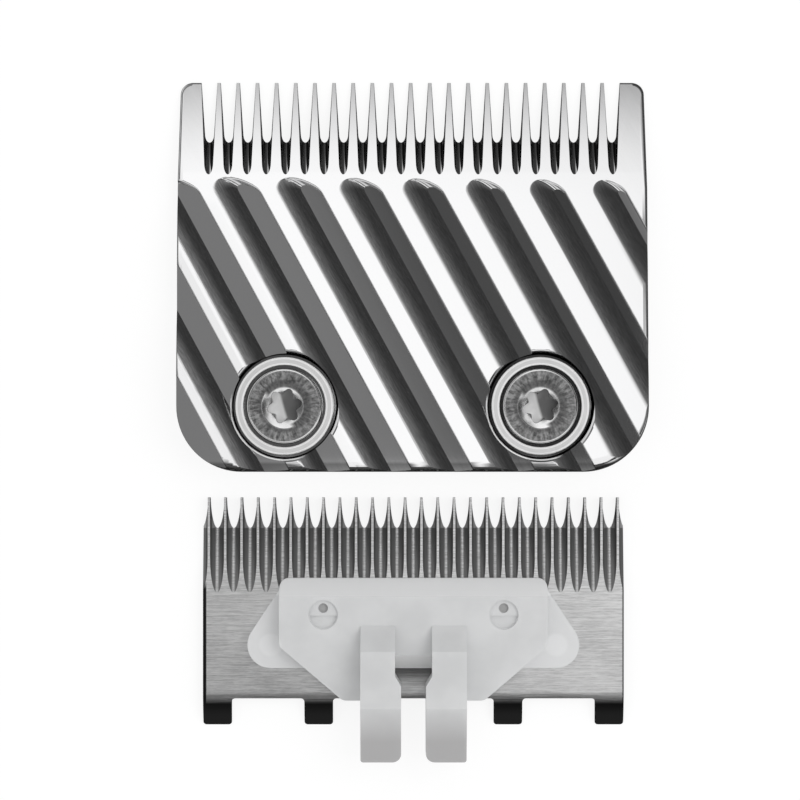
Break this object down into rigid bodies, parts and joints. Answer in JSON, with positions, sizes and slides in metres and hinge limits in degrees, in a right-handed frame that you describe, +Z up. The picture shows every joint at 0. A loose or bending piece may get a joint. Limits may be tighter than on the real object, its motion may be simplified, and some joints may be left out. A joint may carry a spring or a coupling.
{
  "type": "clipper blade",
  "caption": "Replacement hair clipper blade laid out flat: ribbed comb blade with two screws, and its toothed cutter with a plastic drive yoke.",
  "frame": {"origin": "midway between the axes of the two screws, at the level both halves rest on, where the screws end", "axes": "+Y forward to the comb teeth, +Z up out of the ribbed face, +X to the right when looking down with the comb teeth away"},
  "size_m": [0.046, 0.0664, 0.008],
  "materials": {
    "plated_steel": "bright polished plating, satin on the two turned rims",
    "screw_steel": "dark mottled steel, bright socket",
    "brushed_steel": "brushed across the blade, ground grooves",
    "milky_plastic": "milky and slightly translucent, satin"
  },
  "bodies": {
    "root": {"fixed_blade": "plated_steel", "screw_left": "screw_steel", "screw_right": "screw_steel", "cutter_blade": "brushed_steel", "drive_yoke": "milky_plastic"}
  },
  "joints": []
}
